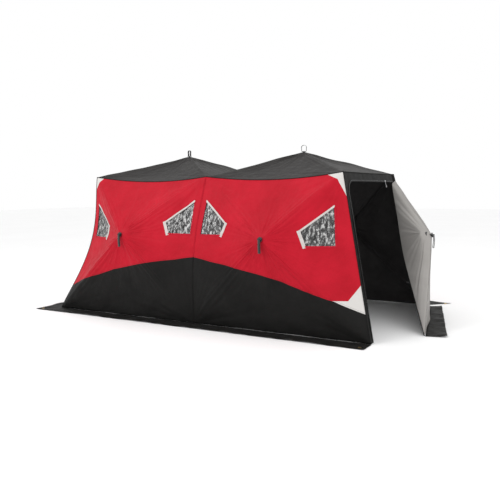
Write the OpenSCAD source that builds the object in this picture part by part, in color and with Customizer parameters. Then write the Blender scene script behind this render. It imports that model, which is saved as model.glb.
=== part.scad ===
// Hub-style ice fishing shelter: two bays, eight sprung hubs, an insulated fabric skin, a snow skirt
// and a wide door in the right-hand end. The front faces -Y, the door end is at +X and +Z is up.
// The origin is on the floor in the middle of the footprint. Every length is in millimetres.

/* [Footprint] */
// Half of the length between the roof corners
roof_half_l = 1760; // [1700:10:1820]
// Half of the width between the roof corners
roof_half_w = 910; // [880:10:960]
// Half of the length between the bottom corners
base_half_l = 2190; // [2120:10:2260]
// Half of the width between the bottom corners
base_half_w = 1225; // [1180:5:1280]
// Width of the snow skirt that lies flat outside the walls
skirt_w = 235; // [180:5:260]

/* [Heights] */
// Height of the roof corners above the floor
corner_z = 1765; // [1720:5:1800]
// How far the middle roof corners sag below the outer ones
mid_drop = 22; // [0:1:40]
// Height of the roof hubs
roof_hub_z = 2050; // [2000:10:2100]
// Height of the wall hubs
wall_hub_z = 1045; // [980:5:1100]

/* [Bulge] */
// How far a hub stands out of the long walls
side_bulge = 320; // [280:5:380]
// How far a hub stands out of the end walls
end_bulge = 540; // [480:5:600]

/* [Fabric] */
// Thickness of the quilted skin
skin_t = 5; // [4:0.5:7]
// Thickness of the snow skirt
skirt_t = 5; // [4:0.5:6]
// Share of the way from a hub to a corner that the hub's patch covers
patch_share = 0.19; // [0.17:0.01:0.22]

/* [Poles] */
// Radius of a fibreglass pole
pole_r = 5.5; // [5:0.5:6]
// Depth of a hub's centre behind the skin
hub_depth = 60; // [56:1:66]
// Radius of a hub's disc
hub_r = 50; // [46:1:54]

/* [Anchors] */
// Radius of the hole through an anchor eyelet
eyelet_r = 8; // [6:0.5:9]

/* [Hidden] */

RED = [0.78, 0.07, 0.13];
BLACK = [0.1, 0.1, 0.1];
GREY = [0.72, 0.7, 0.68];
CLEAR = [0.6, 0.65, 0.68];
BRASS = [0.75, 0.6, 0.3];

UP = [0, 0, 1];
seam_gap = 1.2;         // between neighbouring panels of the skin
edge_gap = 8;           // between the skins of two walls, or of a wall and the roof
hem_z = skirt_t + 1;    // bottom edge of the walls, just above the skirt
patch_gap = 0.008;      // share of the way to a corner left free round a patch
socket_reach = 34;      // from the middle of a corner bracket to the end of a pole
pin_at = 36;            // from the middle of a hub to the pins of its poles
pin_r = 3;
pin_play = 0.06;        // radial clearance on every pin
ferrule_r = 6.5;
bracket_r = 24;
bracket_h = 38;
stud_r = 8;
cap_r = 28;
cap_t = 6.5;
strap_pin_out = 20;     // from the skin to the pin that a pull strap hangs on
strap_len = 150;
strap_w = 26;

function unit(v) = v / norm(v);

// ---- Points that everything is placed from ----

side_tilt = atan((base_half_w - roof_half_w) / corner_z);
end_tilt = atan((base_half_l - roof_half_l) / corner_z);

// Outward normals of the flat planes that the corners of a wall lie in
function side_normal(sy) = [0, sy * cos(side_tilt), sin(side_tilt)];
function end_normal(sx) = [sx * cos(end_tilt), 0, sin(end_tilt)];

function roof_corner(sx, sy) = [sx * roof_half_l, sy * roof_half_w, corner_z - (sx == 0 ? mid_drop : 0)];
function base_corner(sx, sy, z = 0) =
    let (k = z / corner_z)
    [sx * (base_half_l + (roof_half_l - base_half_l) * k),
     sy * (base_half_w + (roof_half_w - base_half_w) * k), z];

side_hub_x = (roof_half_l + base_half_l) / 4;
function side_hub(sx, sy) =
    let (z0 = wall_hub_z - side_bulge * sin(side_tilt))
    [sx * side_hub_x, base_corner(0, sy, z0)[1], z0] + side_bulge * side_normal(sy);
function end_hub(sx) =
    let (z0 = wall_hub_z - end_bulge * sin(end_tilt))
    [base_corner(sx, 0, z0)[0], 0, z0] + end_bulge * end_normal(sx);
function roof_hub(sx) = [sx * roof_half_l / 2, 0, roof_hub_z];

// Outer corners of the skin, in order round each panel
function side_ring(sx, sy) =
    let (top = [0, 0, -edge_gap], z = hem_z)
    [roof_corner(0, sy) + top, roof_corner(sx, sy) + top, base_corner(sx, sy, z), base_corner(0, sy, z)];
function end_ring(sx) =
    [for (p = [roof_corner(sx, -1), roof_corner(sx, 1), base_corner(sx, 1, hem_z), base_corner(sx, -1, hem_z)])
        [p[0], p[1] - sign(p[1]) * edge_gap, p[2] - (p[2] > hem_z ? edge_gap : 0)]];
function roof_ring(sx) = [roof_corner(0, -1), roof_corner(sx, -1), roof_corner(sx, 1), roof_corner(0, 1)];

// Middles of the corner brackets, inside the skin
function top_bracket(sx, sy) = roof_corner(sx, sy) - [sx * 48, sy * 48, 60];
function base_bracket(sx, sy) = base_corner(sx, sy) + [-sx * 62, -sy * 58, 34];

side_sites = [for (sx = [-1, 1], sy = [-1, 1]) [sx, sy]];
function side_brackets(sx, sy) =
    [top_bracket(0, sy), top_bracket(sx, sy), base_bracket(sx, sy), base_bracket(0, sy)];
function end_brackets(sx) =
    [top_bracket(sx, -1), top_bracket(sx, 1), base_bracket(sx, 1), base_bracket(sx, -1)];
function roof_brackets(sx) =
    [top_bracket(0, -1), top_bracket(sx, -1), top_bracket(sx, 1), top_bracket(0, 1)];

// The open door: its fabric is folded back to a free edge that runs from fold_top, by the top of the
// back column, to fold_foot on the floor, and is folded round the hub at fold_hub
fold_foot = [2575, -610, hem_z];
fold_top = roof_corner(1, 1) - [-12, 120, 125];
fold_hub = end_hub(1) - [52, 132, 0];
door_back_top = roof_corner(1, 1) - [-4, 22, 135];
door_back_foot = base_corner(1, 1, hem_z) - [-4, 30, -16];

// ---- Helpers ----

function middle(pts) = [for (k = [0:2]) ([for (p = pts) 1] * [for (p = pts) p[k]]) / len(pts)];
function shrink(pts, d) = let (c = middle(pts)) [for (p = pts) p + d * unit(c - p)];
function facing(pts, v) =
    cross(pts[1] - pts[0], pts[2] - pts[0]) * v > 0 ? pts : [for (i = [len(pts) - 1:-1:0]) pts[i]];
// The point of the plane through a, b and c that has this x and z
function on_plane(x, z, a, b, c) =
    let (n = cross(b - a, c - a)) [x, a[1] - (n[0] * (x - a[0]) + n[2] * (z - a[2])) / n[1], z];

// A flat polygon given depth along v
module slab(pts, v) {
    p = facing(pts, v);
    n = len(p);
    polyhedron(
        points = concat(p, [for (q = p) q + v]),
        faces = concat([[for (i = [0:n - 1]) i]], [[for (i = [0:n - 1]) 2 * n - 1 - i]],
            [for (i = [0:n - 1]) [(i + 1) % n, i, i + n, (i + 1) % n + n]]));
}

// Local axes at p: x along u, z along n
module placed(p, u, n) {
    w = cross(n, u);
    multmatrix([[u[0], w[0], n[0], p[0]], [u[1], w[1], n[1], p[1]], [u[2], w[2], n[2], p[2]], [0, 0, 0, 1]])
        children();
}

function across(n) = unit(cross(n, abs(n[2]) > 0.9 ? [0, 1, 0] : UP));

module rod(a, b, r, sides = 24) {
    d = unit(b - a);
    placed(a, across(d), d) cylinder(h = norm(b - a), r = r, $fn = sides);
}

// ---- Skin ----

// Four flat panels from the corners in ring to the hub, open where the hub's patch goes
module skin(ring, hub, n) {
    open = patch_share + patch_gap;
    for (i = [0:3]) {
        a = ring[i];
        b = ring[(i + 1) % 4];
        slab(shrink([a, b, hub + open * (b - hub), hub + open * (a - hub)], seam_gap), -skin_t * n);
    }
}

// The raised point of the skin over a hub, which moves with the hub
module patch(ring, hub, n) {
    rim = [for (c = ring) hub + patch_share * (c - hub)];
    outer = concat([hub], facing(rim, -n));
    difference() {
        polyhedron(
            points = concat(outer, [for (p = outer) p - skin_t * n]),
            faces = concat([for (i = [1:4]) [0, i, i % 4 + 1]], [for (i = [1:4]) [5, 6 + i % 4, 5 + i]],
                [for (i = [1:4]) [i % 4 + 1, i, i + 5, i % 4 + 6]]));
        placed(hub, across(n), n) cylinder(h = 60, r = stud_r + 2, center = true, $fn = 32);
    }
}

// Windows, as x and z on the two side panels of a long wall's bay
outer_window = [[1700, 1392], [1742, 975], [1441, 973], [1375, 1129]];
inner_window = [[85, 1445], [75, 1060], [367, 1065], [420, 1196]];
function window_points(sx, sy, outer) =
    let (ring = side_ring(sx, sy), hub = side_hub(sx, sy),
        a = outer ? ring[1] : ring[0], b = outer ? ring[2] : ring[3])
    [for (q = outer ? outer_window : inner_window) on_plane(sx * q[0], q[1], a, b, hub)];

// The front has two windows in each bay, and the back only the ones beside the middle
function window_list(sy) = sy < 0 ? [true, false] : [false];

module side_wall(sx, sy) {
    n = side_normal(sy);
    color(RED) difference() {
        skin(side_ring(sx, sy), side_hub(sx, sy), n);
        for (outer = window_list(sy))
            slab([for (p = window_points(sx, sy, outer)) p + 40 * n], -80 * n);
    }
}

module side_windows(sy) {
    n = side_normal(sy);
    color(CLEAR, 0.5) for (sx = [-1, 1], outer = window_list(sy))
        slab([for (p = shrink(window_points(sx, sy, outer), 1)) p - 1.5 * n], -2 * n);
}

module window_trims() {
    color(GREY) for (site = side_sites, outer = window_list(site[1])) {
        n = side_normal(site[1]);
        pts = window_points(site[0], site[1], outer);
        difference() {
            slab([for (p = shrink(pts, -26)) p + 2 * n], -1.5 * n);
            slab([for (p = shrink(pts, 2)) p + 20 * n], -40 * n);
        }
    }
}

module end_wall() {
    color(RED) skin(end_ring(-1), end_hub(-1), end_normal(-1));
}

module roof_bay(sx) {
    color(BLACK) skin(roof_ring(sx), roof_hub(sx), UP);
}

// ---- Door end ----

frame_side_w = 78;      // door frame's upright strip
frame_top_h = 104;      // door frame's strip under the roof
frame_corner_r = 190;   // rounded corner of the doorway
frame_end_y = 800;      // back end of the top strip
frame_hem = hem_z + 3;
function frame_y(z) = base_corner(1, -1, z)[1] + edge_gap;
// The doorway's edge, as y and height: up the front column, round the corner and back along the top
function doorway_edge(grow) =
    let (top = corner_z - frame_top_h + grow, r = frame_corner_r, side = frame_side_w - grow,
        bend_y = frame_y(top - r) + side + r)
    concat([[frame_y(frame_hem) + side, frame_hem], [bend_y - r, top - r]],
        [for (a = [15:15:75]) [bend_y - r * cos(a), top - r + r * sin(a)]],
        [[bend_y, top], [frame_end_y, top]]);

// An outline of y and height, from low to high over the plane of the door end
module on_end(outline, low, high) {
    n = end_normal(1);
    placed([base_half_l, 0, 0] + low * n, [0, 1, 0], n) linear_extrude(height = high - low)
        polygon([for (p = outline) [p[0], p[1] / cos(end_tilt)]]);
}

module door_frame() {
    top = corner_z - edge_gap;
    color(BLACK) on_end(concat([[frame_end_y, top], [frame_y(top), top], [frame_y(frame_hem), frame_hem]],
        doorway_edge(0)), -skin_t, 0);
}

// Zipper tape along the doorway's edge, on the outside of the frame
module door_zipper() {
    outer = doorway_edge(22);
    color(BLACK) on_end(concat(doorway_edge(2), [for (i = [len(outer) - 1:-1:0]) outer[i]]), 0.5, 2.5);
}

slider_y = 450;
module zip_slider() {
    up = corner_z - frame_top_h + 12;
    color(GREY) placed([base_corner(1, 0, up)[0], slider_y, up] + 3.2 * end_normal(1), [0, 1, 0], end_normal(1)) {
        translate([-14, -8, 0]) cube([28, 16, 9]);
        translate([-4, -62, 4]) cube([8, 58, 3]);
        translate([-7, -82, 2.5]) cube([14, 24, 6]);
    }
}

right_hub = end_hub(1);
right_normal = end_normal(1);

module door_flap() {
    n = right_normal;
    gap = 3;            // between its panels
    turn = 26;          // keeps the folded panel clear of the two that it is folded from
    inner = -skin_t * [cos(end_tilt), 0, 0];
    color(GREY) difference() {
        union() {
            for (edge = [[door_back_top, door_back_foot], [door_back_foot, fold_foot],
                    [fold_foot, fold_hub], [fold_hub, fold_top]])
                slab(shrink([edge[0], edge[1], right_hub], gap), inner);
            slab(shrink([fold_foot, fold_hub + turn * unit(fold_top - fold_hub), fold_top], gap),
                [0, skin_t, 0]);
        }
        placed(right_hub, across(n), n) cylinder(h = 60, r = stud_r + 2, center = true, $fn = 32);
        placed(hub_middle(right_hub, n), across(n), n)
            cylinder(h = 32, r = hub_r + 4, center = true, $fn = 64);
    }
}

module door_flap_skirt() {
    out = unit(cross(fold_foot - door_back_foot, UP));
    a = door_back_foot + 0.06 * (fold_foot - door_back_foot);
    color(BLACK) slab([for (p = [a - 12 * out, fold_foot - 12 * out, fold_foot + skirt_w * -out,
        a + 0.7 * skirt_w * -out]) [p[0], p[1], 0]], [0, 0, skirt_t]);
}

module door_tie_back() {
    p = fold_foot + 0.3 * (fold_top - fold_foot) + [-16, -4, 0];
    color(BLACK) translate(p) {
        rotate([0, -75, 0]) cylinder(h = 55, r = 6, $fn = 24);
        rotate([0, -75, 0]) translate([0, 0, 55]) sphere(r = 9, $fn = 24);
    }
}

// ---- Skirt and anchors ----

anchor_size = 130;
skirt_l = base_half_l + skirt_w;
skirt_h = base_half_w + skirt_w;
skirt_in_l = base_half_l - 24;
skirt_in_w = base_half_w - 24;
front_end_x = base_half_l + 6;      // the front skirt stops at the doorway's corner
anchor_sites = [[-skirt_l, -skirt_h, 1, 1], [-skirt_l, skirt_h, 1, -1], [skirt_l, skirt_h, -1, -1],
    [front_end_x, -skirt_h, -1, 1]];

module anchor_square(site, grow) {
    translate([site[0] - (site[2] < 0 ? anchor_size + grow : grow),
        site[1] - (site[3] < 0 ? anchor_size + grow : grow), -1])
        cube([anchor_size + 2 * grow, anchor_size + 2 * grow, skirt_t + 2]);
}

module snow_skirt() {
    color(BLACK) difference() {
        linear_extrude(height = skirt_t) polygon([
            [front_end_x, -skirt_in_w], [front_end_x, -skirt_h], [-skirt_l, -skirt_h], [-skirt_l, skirt_h],
            [skirt_l, skirt_h], [skirt_l, base_half_w + 12], [skirt_in_l, base_half_w + 12],
            [skirt_in_l, skirt_in_w], [-skirt_in_l, skirt_in_w], [-skirt_in_l, -skirt_in_w]]);
        for (site = anchor_sites) anchor_square(site, 0.6);
    }
}

function anchor_middle(site) = [site[0] + site[2] * anchor_size / 2, site[1] + site[3] * anchor_size / 2, 0];

module anchor_patches() {
    color(BLACK) for (site = anchor_sites) difference() {
        translate(anchor_middle(site) + [0, 0, skirt_t / 2])
            cube([anchor_size, anchor_size, skirt_t], center = true);
        translate(anchor_middle(site) - [0, 0, 1]) cylinder(h = skirt_t + 2, r = eyelet_r + 6.2, $fn = 48);
    }
}

module anchor_eyelets() {
    color(BRASS) for (site = anchor_sites) translate(anchor_middle(site)) difference() {
        union() {
            cylinder(h = skirt_t, r = eyelet_r + 6, $fn = 48);
            translate([0, 0, skirt_t + 0.3]) cylinder(h = 2, r = eyelet_r + 10, $fn = 48);
            cylinder(h = skirt_t + 2, r = eyelet_r + 5, $fn = 48);
        }
        translate([0, 0, -1]) cylinder(h = skirt_t + 10, r = eyelet_r, $fn = 48);
    }
}

// ---- Frame ----

// Middle of a hub's disc, behind the skin
function hub_middle(hub, n) = hub - hub_depth * n;
function pole_side(mid, c, n) = unit((c - mid) - ((c - mid) * n) * n);
function pole_pin(mid, c, n) = mid + pin_at * pole_side(mid, c, n);

// A fibreglass pole from its pin in the hub to its socket in the corner bracket
module pole(mid, c, n) {
    u = pole_side(mid, c, n);
    pin = pole_pin(mid, c, n);
    d = unit(c - pin);
    color(BLACK) difference() {
        union() {
            rod(pin, c - socket_reach * d, pole_r);
            rod(pin - 9 * d, pin + 46 * d, ferrule_r);
        }
        placed(pin, u, n) rotate([90, 0, 0]) cylinder(h = 40, r = pin_r + pin_play, center = true, $fn = 24);
    }
}

module poles(hub, n, corners) {
    mid = hub_middle(hub, n);
    for (c = corners) pole(mid, c, n);
}

// A hub: a slotted disc, the pins of its poles, and the stud and cap that hold the skin
module hub(hub, n, corners) {
    mid = hub_middle(hub, n);
    color(BLACK) {
        difference() {
            placed(mid, across(n), n) {
                translate([0, 0, -12]) cylinder(h = 24, r = hub_r, $fn = 64);
                cylinder(h = hub_depth + 2, r = stud_r, $fn = 32);
                translate([0, 0, hub_depth + 0.8]) cylinder(h = cap_t, r = cap_r, $fn = 48);
            }
            for (c = corners) placed(mid, pole_side(mid, c, n), n)
                translate([17, -7.2, -14]) cube([40, 14.4, 28]);
        }
        for (c = corners) placed(pole_pin(mid, c, n), pole_side(mid, c, n), n)
            rotate([90, 0, 0]) cylinder(h = 20, r = pin_r, center = true, $fn = 24);
    }
}

// Two ears and a pin on a wall hub's cap, for its pull strap
module strap_ears(hub, n) {
    s = across(n);
    base = hub + 0.5 * cap_t * n;
    color(BLACK) {
        for (k = [-1, 1]) hull() {
            rod(base + k * 17 * s, base + k * 21 * s, 6, 20);
            rod(hub + strap_pin_out * n + k * 17 * s, hub + strap_pin_out * n + k * 21 * s, 6, 20);
        }
        rod(hub + strap_pin_out * n - 20 * s, hub + strap_pin_out * n + 20 * s, pin_r);
    }
}

module wall_hub(hub, n, corners) {
    hub(hub, n, corners);
    strap_ears(hub, n);
}

// A pull strap hanging from its pin: webbing sewn round the pin, with a moulded grip
module strap(hub, n) {
    s = across(n);
    p = hub + strap_pin_out * n;
    color(BLACK) difference() {
        union() {
            rod(p - strap_w / 2 * s, p + strap_w / 2 * s, 6.2);
            placed(p, s, UP) translate([-strap_w / 2, -2.5, -strap_len]) cube([strap_w, 5, strap_len]);
            placed(p, s, UP) translate([0, 0, -strap_len - 4]) cylinder(h = 92, r = 9, $fn = 32);
        }
        rod(p - 40 * s, p + 40 * s, pin_r + pin_play);
    }
}

// A stiff webbing loop that stands on a roof hub's cap
loop_r = 42;
module roof_loop(hub) {
    foot = hub + [0, 0, cap_t + 1.1];
    color(BLACK) translate(foot) rotate([90, 0, 12]) linear_extrude(height = 24, center = true) difference() {
        union() {
            translate([0, 34]) circle(r = loop_r, $fn = 48);
            translate([-20, 0]) square([40, 10]);
        }
        difference() {
            translate([0, 34]) circle(r = loop_r - 3.5, $fn = 48);
            translate([-60, -20]) square([120, 23]);
        }
        translate([-60, -60]) square([120, 60]);
    }
}

// The bracket at a corner: a puck with a socket for each pole that ends there
module bracket(c, mids) {
    color(BLACK) difference() {
        union() {
            translate(c) cylinder(h = bracket_h, r = bracket_r, center = true, $fn = 48);
            for (m = mids) let (d = unit(m - c)) rod(c, c + 62 * d, 10.5);
        }
        for (m = mids) let (d = unit(m - c)) rod(c + 30 * d, c + 80 * d, pole_r + 0.15);
    }
}

// Pins of the poles that reach a corner, so that each socket points straight along its pole
function side_mid(sx, sy, c) = pole_pin(hub_middle(side_hub(sx, sy), side_normal(sy)), c, side_normal(sy));
function end_mid(sx, c) = pole_pin(hub_middle(end_hub(sx), end_normal(sx)), c, end_normal(sx));
function roof_mid(sx, c) = pole_pin(hub_middle(roof_hub(sx), UP), c, UP);

// The door turns on two pins, in line, that stand on the brackets of the back column
hinge_r = 4;
hinge_dir = unit(base_bracket(1, 1) - top_bracket(1, 1));
module hinge_pin(c, reach) {
    color(BLACK) rod(c, c + reach * hinge_dir, hinge_r);
}

module top_corner_brackets() {
    for (sx = [-1, 0, 1], sy = [-1, 1]) {
        c = top_bracket(sx, sy);
        mids = sx == 0
            ? [side_mid(-1, sy, c), side_mid(1, sy, c), roof_mid(-1, c), roof_mid(1, c)]
            : concat([side_mid(sx, sy, c), roof_mid(sx, c)], sx < 0 ? [end_mid(sx, c)] : []);
        bracket(c, mids);
    }
    hinge_pin(top_bracket(1, 1), 60);
}

module bottom_corner_brackets() {
    for (sx = [-1, 0, 1], sy = [-1, 1]) {
        c = base_bracket(sx, sy);
        mids = sx == 0 ? [side_mid(-1, sy, c), side_mid(1, sy, c)]
            : concat([side_mid(sx, sy, c)], sx < 0 ? [end_mid(sx, c)] : []);
        bracket(c, mids);
    }
    hinge_pin(base_bracket(1, 1), -60);
}

// The door's own two poles end in eyes that turn on the hinge pins
eye_at = 46;
function door_eyes() = [top_bracket(1, 1) + eye_at * hinge_dir, base_bracket(1, 1) - eye_at * hinge_dir];

module door_poles() {
    mid = hub_middle(right_hub, right_normal);
    color(BLACK) for (e = door_eyes()) {
        u = pole_side(mid, e, right_normal);
        pin = pole_pin(mid, e, right_normal);
        d = unit(e - pin);
        difference() {
            union() {
                rod(pin, e, pole_r);
                rod(pin - 9 * d, pin + 46 * d, ferrule_r);
                rod(e - 9 * hinge_dir, e + 9 * hinge_dir, 10);
            }
            placed(pin, u, right_normal) rotate([90, 0, 0])
                cylinder(h = 40, r = pin_r + pin_play, center = true, $fn = 24);
            rod(e - 20 * hinge_dir, e + 20 * hinge_dir, hinge_r + 0.06);
        }
    }
}

// The door's two front poles, unclipped and stowed beside the other two, with a webbing keeper near
// each end of each pair
stow_gap = 26;          // between the middles of the two poles of a pair
module door_stowed_poles() {
    n = right_normal;
    mid = hub_middle(right_hub, n);
    color(BLACK) for (k = [0, 1]) {
        e = door_eyes()[k];
        pin = pole_pin(mid, e, n);
        d = unit(e - pin);
        side = stow_gap * unit(cross(n, d)) * (k == 0 ? -1 : 1);
        len = norm(e - pin);
        rod(pin + side + 70 * d, pin + side + (len - 70) * d, pole_r);
        for (at = [0.12, 0.86]) difference() {
            keeper(pin + at * len * d, side, d, 24, pole_r + 3.2);
            keeper(pin + at * len * d - 5 * d, side, d, 34, pole_r + 0.4);
        }
    }
}

// A band of this length round two poles that lie side apart
module keeper(p, side, d, len, r) {
    placed(p, unit(side), d) {
        cylinder(h = len, r = r, $fn = 32);
        translate([norm(side), 0, 0]) cylinder(h = len, r = r, $fn = 32);
        translate([0, -r, 0]) cube([norm(side), 2 * r, len]);
    }
}

// ---- Assembly ----

module side_poles(sx, sy) poles(side_hub(sx, sy), side_normal(sy), side_brackets(sx, sy));
module side_hub_body(sx, sy) wall_hub(side_hub(sx, sy), side_normal(sy), side_brackets(sx, sy));
module side_patch(sx, sy) color(RED) patch(side_ring(sx, sy), side_hub(sx, sy), side_normal(sy));
module side_strap(sx, sy) strap(side_hub(sx, sy), side_normal(sy));

side_wall(-1, -1);  // front_left_wall
side_wall(1, -1);  // front_right_wall
side_wall(-1, 1);  // back_left_wall
side_wall(1, 1);  // back_right_wall
end_wall();  // left_end_wall
door_frame();
door_zipper();
zip_slider();
roof_bay(-1);  // roof_left
roof_bay(1);  // roof_right
snow_skirt();
anchor_patches();
anchor_eyelets();
side_windows(-1);  // front_windows
side_windows(1);  // back_windows
window_trims();
top_corner_brackets();
bottom_corner_brackets();
side_poles(-1, -1);  // front_left_poles
side_poles(1, -1);  // front_right_poles
side_poles(-1, 1);  // back_left_poles
side_poles(1, 1);  // back_right_poles
poles(end_hub(-1), end_normal(-1), end_brackets(-1));  // left_end_poles
poles(roof_hub(-1), UP, roof_brackets(-1));  // roof_left_poles
poles(roof_hub(1), UP, roof_brackets(1));  // roof_right_poles
side_hub_body(-1, -1);  // front_left_hub
side_hub_body(1, -1);  // front_right_hub
side_hub_body(-1, 1);  // back_left_hub
side_hub_body(1, 1);  // back_right_hub
wall_hub(end_hub(-1), end_normal(-1), end_brackets(-1));  // left_end_hub
hub(roof_hub(-1), UP, roof_brackets(-1));  // roof_left_hub
hub(roof_hub(1), UP, roof_brackets(1));  // roof_right_hub
side_patch(-1, -1);  // front_left_patch
side_patch(1, -1);  // front_right_patch
side_patch(-1, 1);  // back_left_patch
side_patch(1, 1);  // back_right_patch
color(RED) patch(end_ring(-1), end_hub(-1), end_normal(-1));  // left_end_patch
color(BLACK) patch(roof_ring(-1), roof_hub(-1), UP);  // roof_left_patch
color(BLACK) patch(roof_ring(1), roof_hub(1), UP);  // roof_right_patch
side_strap(-1, -1);  // front_left_strap
side_strap(1, -1);  // front_right_strap
side_strap(-1, 1);  // back_left_strap
side_strap(1, 1);  // back_right_strap
strap(end_hub(-1), end_normal(-1));  // left_end_strap
strap(right_hub, right_normal);  // right_end_strap
roof_loop(roof_hub(-1));  // roof_left_strap
roof_loop(roof_hub(1));  // roof_right_strap
door_flap();
door_flap_skirt();
door_poles();
door_stowed_poles();
wall_hub(right_hub, right_normal, door_eyes());  // right_end_hub
door_tie_back();
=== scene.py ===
import math

import bmesh
import bpy
import numpy as np
from mathutils import Matrix, Vector
from mathutils.bvhtree import BVHTree


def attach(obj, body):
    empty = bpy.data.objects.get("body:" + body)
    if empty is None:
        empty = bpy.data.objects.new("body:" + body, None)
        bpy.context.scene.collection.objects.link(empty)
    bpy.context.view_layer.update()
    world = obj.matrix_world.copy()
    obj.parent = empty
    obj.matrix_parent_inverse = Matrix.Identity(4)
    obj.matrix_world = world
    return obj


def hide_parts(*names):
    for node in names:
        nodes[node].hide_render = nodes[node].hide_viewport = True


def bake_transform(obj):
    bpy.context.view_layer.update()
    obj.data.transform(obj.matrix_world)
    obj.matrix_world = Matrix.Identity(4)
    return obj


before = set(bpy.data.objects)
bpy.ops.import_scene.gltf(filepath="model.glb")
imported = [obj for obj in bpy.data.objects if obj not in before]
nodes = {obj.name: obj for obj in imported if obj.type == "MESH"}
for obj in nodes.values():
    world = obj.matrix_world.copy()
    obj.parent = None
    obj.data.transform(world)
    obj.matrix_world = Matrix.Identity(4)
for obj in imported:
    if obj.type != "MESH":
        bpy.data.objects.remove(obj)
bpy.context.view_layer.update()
scene = bpy.context.scene


def V(*a):
    return np.array(a, float)


def unit(v):
    return v / np.linalg.norm(v)


# ---- Camera, at the photograph's angle ----
yaw, pitch, roll = -0.52, -0.098, -0.009
forward = V(math.sin(yaw) * math.cos(pitch), math.cos(yaw) * math.cos(pitch), math.sin(pitch))
side0 = V(math.cos(yaw), -math.sin(yaw), 0)
up0 = np.cross(side0, forward)
side = side0 * math.cos(roll) + up0 * math.sin(roll)
up = np.cross(side, forward)
camera = bpy.data.objects.new("camera", bpy.data.cameras.new("camera"))
camera.data.lens = 44.33
camera.data.sensor_width = 36
camera.data.clip_end = 200
camera.matrix_world = Matrix((
    (side[0], up[0], -forward[0], 4.179),
    (side[1], up[1], -forward[1], -7.154),
    (side[2], up[2], -forward[2], 1.584),
    (0, 0, 0, 1)))
scene.collection.objects.link(camera)
scene.camera = camera

# ---- Sizes, as in the CAD ----
ROOF_L, BASE_L, ROOF_W, BASE_W, TOP = 1.760, 2.190, 0.910, 1.225, 1.765
SKIRT, HEM = 0.235, 0.006
POLE_R, FERRULE_R, STRAP_LONG, STRAP_WIDE = 0.0055, 0.0066, 0.148, 0.026
ROOF_HUB, WALL_HUB, SIDE_BULGE, END_BULGE, DEPTH = 2.05, 1.045, 0.320, 0.540, 0.060
side_tilt = math.atan((BASE_W - ROOF_W) / TOP)
end_tilt = math.atan((BASE_L - ROOF_L) / TOP)


def side_normal(sy):
    return V(0, sy * math.cos(side_tilt), math.sin(side_tilt))


def end_normal(sx):
    return V(sx * math.cos(end_tilt), 0, math.sin(end_tilt))


def roof_corner(sx, sy):
    return V(sx * ROOF_L, sy * ROOF_W, TOP - (0.022 if sx == 0 else 0))


def base_corner(sx, sy, z=0.0):
    k = z / TOP
    return V(sx * (BASE_L + (ROOF_L - BASE_L) * k), sy * (BASE_W + (ROOF_W - BASE_W) * k), z)


def side_hub(sx, sy):
    z0 = WALL_HUB - SIDE_BULGE * math.sin(side_tilt)
    return V(sx * (ROOF_L + BASE_L) / 4, base_corner(0, sy, z0)[1], z0) + SIDE_BULGE * side_normal(sy)


def end_hub(sx):
    z0 = WALL_HUB - END_BULGE * math.sin(end_tilt)
    return V(base_corner(sx, 0, z0)[0], 0, z0) + END_BULGE * end_normal(sx)


def roof_hub(sx):
    return V(sx * ROOF_L / 2, 0, ROOF_HUB)


def top_bracket(sx, sy):
    return roof_corner(sx, sy) - V(sx * 0.048, sy * 0.048, 0.060)


def base_bracket(sx, sy):
    return base_corner(sx, sy) + V(-sx * 0.062, -sy * 0.058, 0.034)


UP = V(0, 0, 1)
right_hub, right_normal = end_hub(1), end_normal(1)


def bump1(x):
    return 4 * x * (1 - x)


# Edges that neighbouring sheets share, as functions of t from 0 to 1
def top_edge(sx, sy):
    a, b = roof_corner(0, sy), roof_corner(sx, sy)
    return lambda t: a + (b - a) * t + bump1(t) * V(0, -sy * 0.035, -0.06)


def end_top_edge(sx):
    a, b = roof_corner(sx, -1), roof_corner(sx, 1)
    o = V(-sx * 0.03, 0, -0.06) if sx < 0 else V(0, 0, -0.004)
    return lambda t: a + (b - a) * t + bump1(t) * o


def corner_edge(sx, sy):
    a, b = roof_corner(sx, sy), base_corner(sx, sy, HEM)
    if sx == 0:
        o = V(0, sy * 0.125, 0.0)
    elif sx < 0:
        o = V(0.115, -sy * 0.10, 0)
    else:
        o = V(-0.012, -sy * 0.03, 0) if sy < 0 else V(-0.01, -sy * 0.02, 0)
    return lambda t: a + (b - a) * t + math.sin(math.pi * t) ** 1.2 * o


def base_edge(sx, sy):
    a, b = base_corner(0, sy, HEM), base_corner(sx, sy, HEM)
    return lambda t: a + (b - a) * t + bump1(t) * V(0, -sy * 0.012, 0) + \
        V(0, 0.005 * math.sin(23 * t) * bump1(t), 0)


def end_base_edge(sx):
    a, b = base_corner(sx, -1, HEM), base_corner(sx, 1, HEM)
    return lambda t: a + (b - a) * t + bump1(t) * V(-sx * 0.02, 0, 0)


def flip(f):
    return lambda t: f(1 - t)


def valley(t):
    a, b = roof_corner(0, -1), roof_corner(0, 1)
    return a + (b - a) * t + bump1(t) * V(0, 0, 0.01)


# ---- Materials ----
def new_material(name):
    m = bpy.data.materials.new(name)
    m.use_nodes = True
    t = m.node_tree
    return m, t, t.nodes["Principled BSDF"]


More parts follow.
